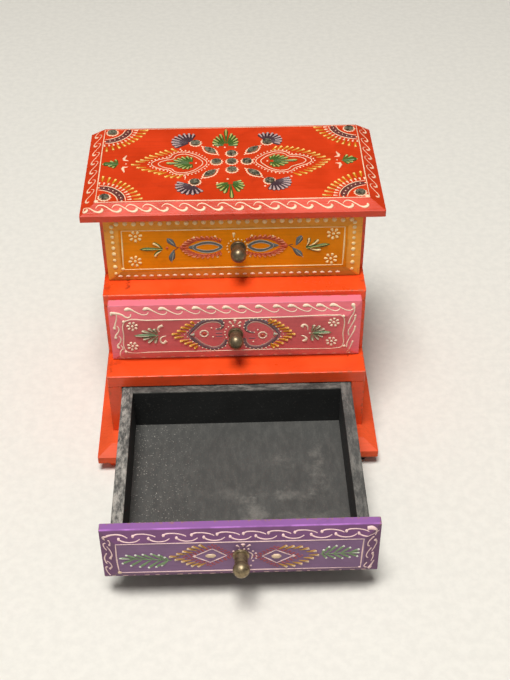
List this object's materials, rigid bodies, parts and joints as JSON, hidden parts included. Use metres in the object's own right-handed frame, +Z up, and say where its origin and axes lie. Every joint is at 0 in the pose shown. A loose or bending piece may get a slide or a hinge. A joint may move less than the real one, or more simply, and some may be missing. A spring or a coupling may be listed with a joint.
{
  "type": "drawer box",
  "caption": "Small stepped chest of drawers in painted wood, with a bevelled lid, overlaid bevelled drawer fronts, ball knobs and corner feet, for keeping jewellery and trinkets.",
  "frame": {"origin": "on the surface that the chest stands on, under the middle of the whole part's box with the bottom drawer drawn out as at rest", "axes": "+Z up, -Y the way the drawers open, +X to the right seen from the front"},
  "size_m": [0.2, 0.2914, 0.1825],
  "materials": {
    "red_paint": "orange-red gloss paint on wood",
    "black_paint": "black paint on wood",
    "bare_wood": "thin red paint on wood",
    "ochre_paint": "ochre gloss paint with raised ornament",
    "pink_paint": "pink gloss paint with raised ornament",
    "purple_paint": "purple gloss paint with raised ornament",
    "charcoal_paint": "thin charcoal paint, dusty",
    "brass": "aged brass",
    "steel": "steel wire",
    "mirror": "small mirror glass"
  },
  "bodies": {
    "carcass": {"back_brads": "steel", "back_left_foot": "red_paint", "back_panel": "bare_wood", "back_right_foot": "black_paint", "base_brads": "steel", "base_plate": "red_paint", "bottom_left_side": "red_paint", "bottom_right_side": "red_paint", "foot_brads": "steel", "front_left_foot": "red_paint", "front_right_foot": "black_paint", "leaf_mirrors": "mirror", "lid": "red_paint", "lid_brads": "steel", "lower_shelf": "red_paint", "lower_shelf_brads": "steel", "middle_left_side": "red_paint", "middle_right_side": "red_paint", "round_mirrors": "mirror", "top_left_side": "red_paint", "top_right_side": "red_paint", "upper_shelf": "red_paint", "upper_shelf_brads": "steel"},
    "bottom_drawer": {"bottom_drawer_back_wall": "charcoal_paint", "bottom_drawer_bottom_board": "charcoal_paint", "bottom_drawer_brads": "steel", "bottom_drawer_front": "purple_paint", "bottom_drawer_left_wall": "charcoal_paint", "bottom_drawer_right_wall": "charcoal_paint", "bottom_knob": "brass", "bottom_knob_nut": "brass", "bottom_knob_washer": "brass"},
    "middle_drawer": {"middle_drawer_back_wall": "charcoal_paint", "middle_drawer_bottom_board": "charcoal_paint", "middle_drawer_brads": "steel", "middle_drawer_front": "pink_paint", "middle_drawer_left_wall": "charcoal_paint", "middle_drawer_right_wall": "charcoal_paint", "middle_knob": "brass", "middle_knob_nut": "brass", "middle_knob_washer": "brass"},
    "top_drawer": {"top_drawer_back_wall": "charcoal_paint", "top_drawer_bottom_board": "charcoal_paint", "top_drawer_brads": "steel", "top_drawer_front": "ochre_paint", "top_drawer_left_wall": "charcoal_paint", "top_drawer_right_wall": "charcoal_paint", "top_knob": "brass", "top_knob_nut": "brass", "top_knob_washer": "brass"}
  },
  "joints": [
    {"name": "bottom_drawer_slide", "type": "slide", "parent": "carcass", "child": "bottom_drawer", "axis": [0, -1, 0], "range_m": [-0.124, 0]},
    {"name": "middle_drawer_slide", "type": "slide", "parent": "carcass", "child": "middle_drawer", "axis": [0, -1, 0], "range_m": [0, 0.099]},
    {"name": "top_drawer_slide", "type": "slide", "parent": "carcass", "child": "top_drawer", "axis": [0, -1, 0], "range_m": [0, 0.074]}
  ]
}
